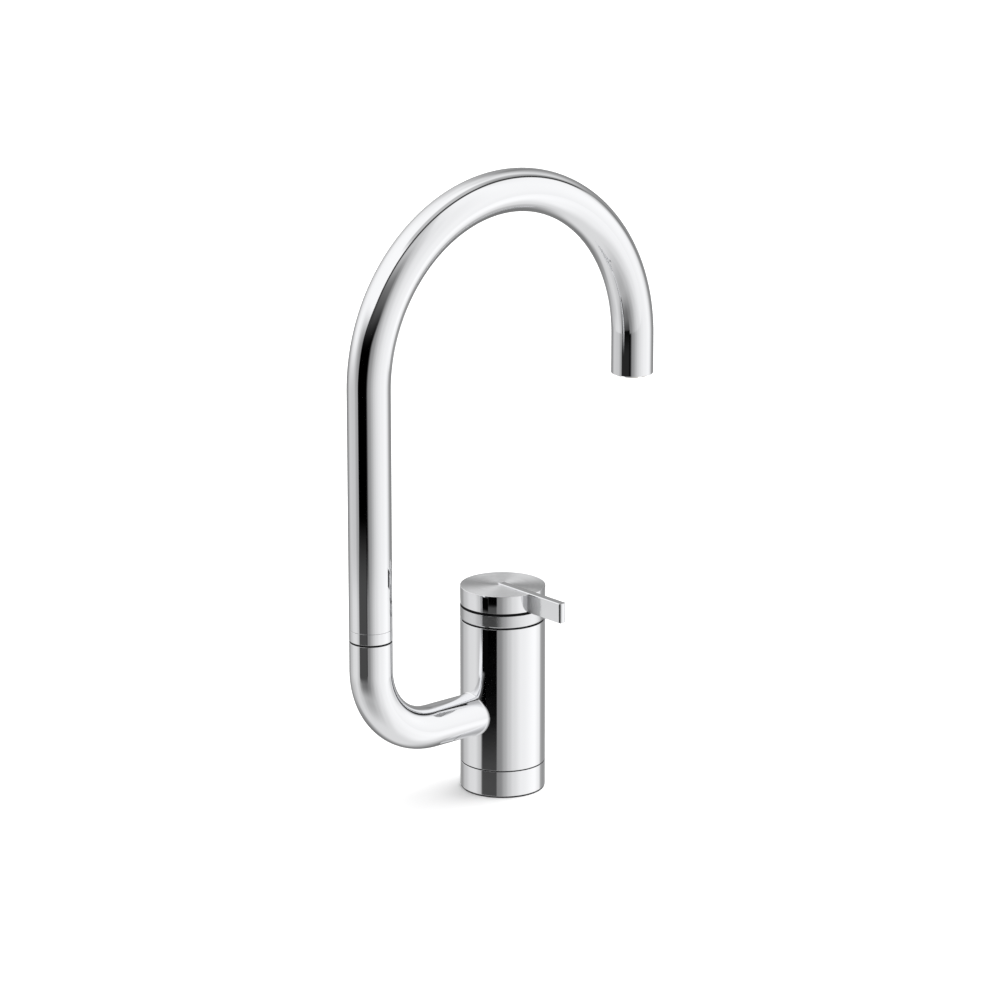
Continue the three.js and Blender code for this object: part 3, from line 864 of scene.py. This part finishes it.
def flare_ring(t, sides, sink=0.0):
    """One ring of the rounding between pipe and column, from the pipe at 0 to the column at 1."""
    quarter = math.pi / 2
    rho = PIPE_R + FLARE * (1 - math.cos(t * quarter))
    lift = FLARE * (1 - math.sin(t * quarter)) - sink
    d_rho = FLARE * quarter * math.sin(t * quarter)
    d_lift = -FLARE * quarter * math.cos(t * quarter)
    v = angles_around(sides)
    y, z = rho * np.sin(v), rho * np.cos(v)
    root = np.sqrt(COLUMN_R ** 2 - y ** 2)
    points = np.stack([-(root + lift), y, PIPE_Z + z], 1)
    d_root_v = -y * rho * np.cos(v) / root
    along_v = np.stack([-d_root_v, rho * np.cos(v), -rho * np.sin(v)], 1)
    d_root_t = -y * d_rho * np.sin(v) / root
    along_t = np.stack([-(d_root_t + d_lift), d_rho * np.sin(v), d_rho * np.cos(v)], 1)
    normal = np.cross(along_v, along_t)
    outward_guess = np.stack([-0.7 + 0 * v, np.sin(v), np.cos(v)], 1)
    normal *= np.sign((normal * outward_guess).sum(1))[:, None]
    return points, normal / np.linalg.norm(normal, axis=1)[:, None]


def make_side_pipe():
    inner_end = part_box("side_elbow")[1].x
    to_bend = -(RISER_X + ELBOW_R) + inner_end
    bend = ELBOW_R * math.pi / 2
    track = Track(inner_end, PIPE_Z, 180, ((to_bend, 0.0), (bend, -1 / ELBOW_R), (1.0, 0.0)))
    length = to_bend + bend + ELBOW_TOP - PIPE_Z - ELBOW_R
    bore = PIPE_R - PIPE_WALL
    shape = outline([(bore, 0, 0.3 * MM), (PIPE_R, 0, 0.3 * MM),
                     (PIPE_R, length, 0.22 * MM), (bore, length, 0.3 * MM)])
    shape = refine(shape, 1.2 * MM)
    clear_of_flare = COLUMN_R + FLARE + 0.6 * MM + inner_end
    rings = []
    flared = False
    for point in shape:
        on_outside = point[0] > PIPE_R - 1e-6 and abs(point[2] - 1) < 1e-6
        if on_outside and 6 * MM < point[1] < clear_of_flare:
            if not flared:
                rings.append(flare_ring(0, FINE, sink=FLARE + 0.8 * MM))
                rings += [flare_ring(1 - k / 8, FINE, sink=0.03 * MM) for k in range(9)]
                flared = True
            continue
        rings.append(ring_of(point, track.at, FINE))
    stands_for(grid_piece("side_pipe", rings), "side_elbow")


# ---------- swivel and spout


def make_swivel():
    axis = upright(RISER_X)
    washer_bore = 9.3 * MM
    make_ring("swivel_washer", "spout_glide_washer", washer_bore, 0.15 * MM, axis)

    low, sleeve_top = span_z("spout_collar")
    top = SPOUT_BOTTOM - 0.12 * MM
    bore, sleeve = 10.4 * MM, 11.1 * MM
    points = outline([
        (bore, low, 0.2 * MM), (PIPE_R, low, 0.2 * MM), (PIPE_R, top, 0.12 * MM),
        (sleeve, top), (sleeve, sleeve_top, 0.2 * MM), (bore, sleeve_top, 0.2 * MM),
    ])
    stands_for(turn_piece("swivel_collar", points, axis), "spout_collar")


def make_spout():
    up = ARCH_Z - SPOUT_BOTTOM
    arch = math.pi * ARCH_R
    down = ARCH_Z - OUTLET_Z
    moves = ((up, 0.0), (arch, -1 / ARCH_R), (down + 1, 0.0))
    track = Track(RISER_X, SPOUT_BOTTOM, 90, moves)
    length = up + arch + down
    bore = PIPE_R - PIPE_WALL
    shape = outline([(bore, 0, 0.2 * MM), (PIPE_R, 0, 0.12 * MM),
                     (PIPE_R, length, 0.35 * MM), (bore, length, 0.35 * MM)])
    stands_for(turn_piece("gooseneck", refine(shape, 2.2 * MM), track.at), "spout_tube")


def make_aerator():
    axis = upright(OUTLET_X)
    low, high = span_z("aerator_housing")
    outer = radius("aerator_housing")
    bore = outer - 1.6 * MM
    points = ring_outline(bore, outer, low, high, 0.15 * MM)
    housing = turn_piece("aerator_shell", points, axis, MEDIUM)
    reach = (bore - 0.4 * MM, outer + 0.4 * MM)
    half = 1.5 * MM
    cutters = []
    for k in range(6):
        angle = k * math.pi / 3 + math.pi / 12
        along = np.array([math.cos(angle), math.sin(angle)])
        across = np.array([-along[1], along[0]])
        corners = [along * reach[i] + across * half * j
                   for i, j in ((0, -1), (1, -1), (1, 1), (0, 1))]
        shape = [(OUTLET_X + c[0], c[1]) for c in corners]
        cutters.append(prism("notch", shape, low - 1 * MM, low + 0.8 * MM))
    carve(housing, cutters, [Turned(points, axis)])
    stands_for(housing, "aerator_housing")
    make_aerator_insert(axis)


def make_aerator_insert(axis):
    """The flow straightener: a plastic ring that holds a square honeycomb."""
    low, high = span_z("aerator_cartridge")
    r = radius("aerator_cartridge")
    face = low + 1 * MM
    corners = [(0, face), (r - 1.2 * MM, face, 0.1 * MM), (r - 1.0 * MM, low, 0.2 * MM),
               (r, low, 0.3 * MM), (r, high, 0.3 * MM), (0, high)]
    insert, surface = turn_solid("flow_straightener", corners, axis, MEDIUM)
    half = 0.78 * MM
    cells = [k * 2.0 * MM for k in range(-4, 5)]
    cutters = [box_cutter((OUTLET_X + x - half, y - half, low - 1 * MM),
                          (OUTLET_X + x + half, y + half, high + 1 * MM))
               for x in cells for y in cells
               if math.hypot(abs(x) + half, abs(y) + half) < r - 1.4 * MM]
    carve(insert, cutters, [surface])
    stands_for(insert, "aerator_cartridge")


# ---------- dome ring, cap and lever


def sphere_corners(rho, from_r, to_r, pieces):
    """Corners of a sphere's profile about the tilt centre."""
    start, end = math.asin(from_r / rho), math.asin(to_r / rho)
    angles = [start + (end - start) * k / pieces for k in range(pieces + 1)]
    return [(rho * math.sin(a), PIVOT_Z + rho * math.cos(a), 0.2 * MM) for a in angles]


CAP_SPHERE = math.hypot(COLUMN_R, CAP_RIM - PIVOT_Z)
DOME_SPHERE = math.hypot(COLUMN_R, DOME_RIM - PIVOT_Z)


def make_dome():
    low, high = span_z("glide_ring")
    flange_r = radius("glide_ring")
    under, over = span_z("body_shell")[1] + 0.06 * MM, span_z("dome_ring")[0] - 0.06 * MM
    bore, sleeve = 22.2 * MM, 23.6 * MM
    points = outline([
        (bore, low, 0.2 * MM), (sleeve, low, 0.2 * MM), (sleeve, under), (flange_r, under),
        (flange_r, over), (sleeve, over), (sleeve, high, 0.2 * MM), (bore, high, 0.2 * MM),
    ])
    stands_for(turn_piece("glide_bush", points), "glide_ring")

    plate_low, plate_high = span_z("cap_glide")
    plate_r = radius("cap_glide")
    low, high = span_z("dome_ring")
    wall, lip, shelf = COLUMN_R - 2.9 * MM, plate_r + 0.1 * MM, plate_low - 0.1 * MM
    points = outline([
        (wall, low, 0.2 * MM), (COLUMN_R, low, 1 * MM), (COLUMN_R, high, 0.2 * MM),
        (lip, high, 0.05 * MM), (lip, shelf), (wall, shelf, 0.3 * MM),
    ])
    ring = turn_piece("turning_ring", points)
    stands_for(ring, "dome_ring", BRUSHED_CHROME, ACETAL_AND_GAP_SHADE)
    # painted shade: the chrome ring's flat top lip gets the black material so that the gap under the cap reads
    # dark
    for face in ring.data.polygons:
        if face.center.z > high - 0.05 * MM:
            face.material_index = 1

    flat_top_r = 24.8 * MM
    band = sphere_corners(DOME_SPHERE, plate_r, flat_top_r, 8)
    corners = [(0, plate_low), (plate_r, plate_low, 0.15 * MM), *band, (0, plate_high)]
    plate, surface = turn_solid("cap_slide", corners)
    half = 8.7 * MM
    slot = rounded_slot(-half, half, -9 * MM, 17.6 * MM, 3 * MM)
    cutter = prism("slot", slot, plate_low - 1 * MM, plate_high + 1 * MM)
    carve(plate, [cutter], [surface])
    stands_for(plate, "cap_glide")


def rounded_slot(x0, x1, y0, y1, r, pieces=8):
    corners = [(x1 - r, y0 + r, -90), (x1 - r, y1 - r, 0),
               (x0 + r, y1 - r, 90), (x0 + r, y0 + r, 180)]
    return [(x + r * math.cos(math.radians(start + 90 * k / pieces)),
             y + r * math.sin(math.radians(start + 90 * k / pieces)))
            for x, y, start in corners for k in range(pieces + 1)]


LEVER_HALF = (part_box("lever_blade")[1].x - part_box("lever_blade")[0].x) / 2
SLOT_GAP = 0.07 * MM
HEEL_Y = -20.5 * MM      # where the lever's root steps up over the hub
TONGUE_Z = CAP_TOP - 2.6 * MM
ROOT_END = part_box("lever_blade")[1].y + 0.1 * MM


def make_cap():
    recess_z = CAP_TOP - 4 * MM
    hub_bottom = span_z("handle_cap")[0]
    hub_r = 8 * MM
    recess_r = 20 * MM
    under = sphere_corners(CAP_SPHERE, recess_r, COLUMN_R, 10)
    cap, surface = turn_solid("cap", [
        (0, hub_bottom), (hub_r, hub_bottom, 0.5 * MM), (hub_r, recess_z, 1 * MM),
        (recess_r, recess_z, 1 * MM), *under[:-1], (COLUMN_R - 0.16 * MM, CAP_RIM, 0.2 * MM),
        (COLUMN_R - 0.04 * MM, CAP_RIM + 4 * MM), (COLUMN_R, CAP_RIM + 8 * MM),
        (COLUMN_R, CAP_TOP, 0.3 * MM), (0, CAP_TOP),
    ])
    half = LEVER_HALF + SLOT_GAP
    front = -COLUMN_R - 2 * MM
    above = CAP_TOP + 1 * MM
    tongue = box_cutter((-half, front, TONGUE_Z), (half, ROOT_END, above))
    blade = box_cutter((-half, front, CAP_RIM - 2 * MM), (half, HEEL_Y, above))
    stem_r, stem_top = 4.3 * MM, 129.3 * MM
    screw_r, key_r = 2.3 * MM, 2.2 * MM
    screw_axis = lying((0, 0, middle("handle_set_screw").z), (0, 1, 0))
    holes = [drill(key_r, screw_axis, 19 * MM, COLUMN_R + 2 * MM),
             drill(screw_r, screw_axis, 3 * MM, hub_r + 1 * MM),
             drill(stem_r, upright(), hub_bottom - 1 * MM, stem_top)]
    carve(cap, [tongue, blade, *(cutter for cutter, wall in holes)],
          [surface, *(wall for cutter, wall in holes)])
    stands_for(cap, "handle_cap", CHROME, SPUN_CHROME)
    for face in cap.data.polygons:
        if face.normal.z > 0.999 and face.center.z > CAP_TOP - 0.01 * MM:
            face.material_index = 1


def make_lever():
    """A flat blade: soft edges along its top, rounder ones down its free end."""
    low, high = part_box("lever_blade")
    tip, root, bottom, top = low.y, high.y, low.z, high.z
    heel = HEEL_Y - 0.1 * MM
    under = TONGUE_Z + 0.1 * MM
    curve = sphere_corners(CAP_SPHERE + 0.1 * MM, COLUMN_R + 0.2 * MM, -heel, 8)
    shape = [(tip, bottom)] + [(-r, z) for r, z, _ in curve]
    shape += [(heel, under), (root, under), (root, top), (tip, top)]
    blade = prism("lever", shape, -LEVER_HALF, LEVER_HALF, lambda u, v, depth: (depth, u, v))
    mesh = blade.data
    weights = mesh.attributes.new("bevel_weight_edge", "FLOAT", "EDGE")
    top_edge, tip_edge, other_edge = 0.65 * MM, 2.1 * MM, 0.25 * MM
    for edge in mesh.edges:
        a, b = (mesh.vertices[i].co for i in edge.vertices)
        at_tip = max(a.y, b.y) < tip + 0.01 * MM
        at_top = min(a.z, b.z) > top - 0.01 * MM
        along_curve = abs(a.x - b.x) > 1 * MM and not at_tip and not at_top
        down_tip = at_tip and abs(a.x - b.x) < 1e-6
        size = top_edge if at_top else tip_edge if down_tip else other_edge
        weights.data[edge.index].value = 0.0 if along_curve else size / tip_edge
    bevel = blade.modifiers.new("edges", "BEVEL")
    bevel.width = tip_edge
    bevel.segments = 6
    bevel.limit_method = "WEIGHT"
    bevel.harden_normals = True
    bake(blade)
    stands_for(blade, "lever_blade", SATIN_CHROME)


def make_plug():
    z = middle("set_screw_plug").z
    low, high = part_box("set_screw_plug")
    r, length = (high.z - low.z) / 2, high.y - low.y
    corners = [(0, 0), (r, 0, 0.2 * MM), (r, length, 0.4 * MM), (0, length)]
    plug = turn_solid("screw_plug", corners, lying((0, low.y, z), (0, 1, 0)), SMALL)[0]
    stands_for(plug, "set_screw_plug")


# ---------- under the worktop


THREAD_FLAT = 0.18     # share of a thread's half pitch that its crest and root are flat over


def thread_ring(z, base_r, pitch, depth, sides):
    """One ring of a helical thread: the depth follows the turn."""
    angles = angles_around(sides)
    phase = (z / pitch - angles / (2 * math.pi)) % 1.0
    wave = np.clip((np.abs(phase - 0.5) * 2 - THREAD_FLAT) / (1 - 2 * THREAD_FLAT), 0, 1)
    r = base_r - depth * wave
    return np.stack([r * np.cos(angles), r * np.sin(angles), np.full(sides, z)], 1)


def threaded_tube(name, bore, outer, low, high, pitch, depth, sides, centre=(0, 0)):
    """A tube or rod with a helical thread on its outside. A bore of 0 makes a rod."""
    rows = max(8, int((high - low) / (pitch / 8)))
    rings = []
    for k in range(rows + 1):
        z = low + (high - low) * k / rows
        fade = min(1.0, (z - low) / pitch, (high - z) / pitch)
        rings.append(thread_ring(z, outer - depth * (1 - fade) * 0.9, pitch, depth * fade, sides))
    if bore:
        rings += [unit_circle(sides) * bore + (0, 0, z) for z in (high, low)]
    offset = np.array([*centre, 0])
    vertices = [vertex for ring in rings for vertex in ring + offset]
    faces = []
    count = len(rings)
    for i in range(count if bore else count - 1):
        a, b = i * sides, ((i + 1) % count) * sides
        faces += [(a + j, a + (j + 1) % sides, b + (j + 1) % sides, b + j) for j in range(sides)]
    if not bore:
        faces.append(tuple(range(sides))[::-1])
        faces.append(tuple(range((count - 1) * sides, count * sides)))
    piece = mesh_piece(name, vertices, faces)
    sharpen(piece, 32)
    return piece


def sharpen(piece, degrees):
    """Smooth faces with sharp edges above an angle."""
    piece.data.shade_smooth()
    piece.data.set_sharp_from_angle(angle=math.radians(degrees))


def make_mounting():
    low, high = span_z("mounting_shank")
    shank = threaded_tube("threaded_shank", 12.5 * MM, radius("mounting_shank"), low, high,
                          pitch=1.8 * MM, depth=0.75 * MM, sides=MEDIUM)
    stands_for(shank, "mounting_shank")
    make_ring("rubber_washer", "deck_rubber_washer", CLAMP_BORE, 0.5 * MM, sides=MEDIUM)
    make_ring("steel_washer", "deck_steel_washer", CLAMP_BORE, 0.3 * MM, sides=MEDIUM)
    make_nut()
    for end in ("front", "rear"):
        node = "jack_screw_" + end
        low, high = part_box(node)
        centre = (0.0, (low.y + high.y) / 2)
        head_r = (high.x - low.x) / 2
        head_top = low.z + 3.5 * MM
        thread = threaded_tube("jack_thread", 0, head_r - 0.5 * MM, head_top - 0.2 * MM, high.z,
                               pitch=0.8 * MM, depth=0.3 * MM, sides=32, centre=centre)
        socket = low.z + 1.6 * MM
        head = turn_solid("jack_head", [
            (0, socket), (1.3 * MM, socket, 0.1 * MM), (1.5 * MM, low.z, 0.2 * MM),
            (head_r, low.z, 0.4 * MM), (head_r, head_top, 0.2 * MM), (0, head_top),
        ], upright(*centre), SMALL)[0]
        stands_for(joined("clamp_screw_" + end, head, thread), node)


def joined(name, base, other):
    """Joins two meshes into one piece by a union, so that it stays one closed body."""
    combine(base, [other], "UNION")
    base.name = name
    sharpen(base, 35)
    return base


def make_nut():
    low, high = span_z("mounting_nut")
    outer = radius("mounting_nut")
    flange_bottom = high - 6 * MM
    half_flats = 20 * MM
    corner = half_flats / math.cos(math.pi / 6)
    screw_r, screw_y = 2.6 * MM, 23 * MM
    points = ring_outline(CLAMP_BORE, outer, flange_bottom, high, 0.5 * MM)
    flange = turn_piece("flange", points, sides=MEDIUM)
    hexagon = [(corner * math.cos(k * math.pi / 3), corner * math.sin(k * math.pi / 3))
               for k in range(6)]
    barrel = prism("hexagon", hexagon, low, flange_bottom + 1 * MM)
    chamfer = turn_solid("chamfer", [
        (0, low - 1 * MM), (corner - 1.6 * MM, low - 1 * MM, 1e-6),
        (corner + 2 * MM, low + 2.4 * MM, 1e-6), (corner + 2 * MM, high, 1e-6), (0, high),
    ], sides=MEDIUM)[0]
    combine(barrel, [chamfer], "INTERSECT")
    nut = joined("clamp_nut", flange, barrel)
    through = (low - 1 * MM, high + 1 * MM)
    holes = [drill(CLAMP_BORE, upright(), *through, MEDIUM)]
    holes += [drill(screw_r, upright(0.0, y), *through) for y in (-screw_y, screw_y)]
    carve(nut, [cutter for cutter, wall in holes], [])
    sharpen(nut, 35)
    stands_for(nut, "mounting_nut")


# ---------- everything

make_camera()
make_world()
make_floor()
make_reflection_cards()
make_lights()
bpy.context.scene.view_settings.view_transform = "Standard"
dress_cad_nodes()
make_base()
make_column()
make_side_pipe()
make_swivel()
make_spout()
make_aerator()
make_dome()
make_cap()
make_lever()
make_plug()
make_mounting()
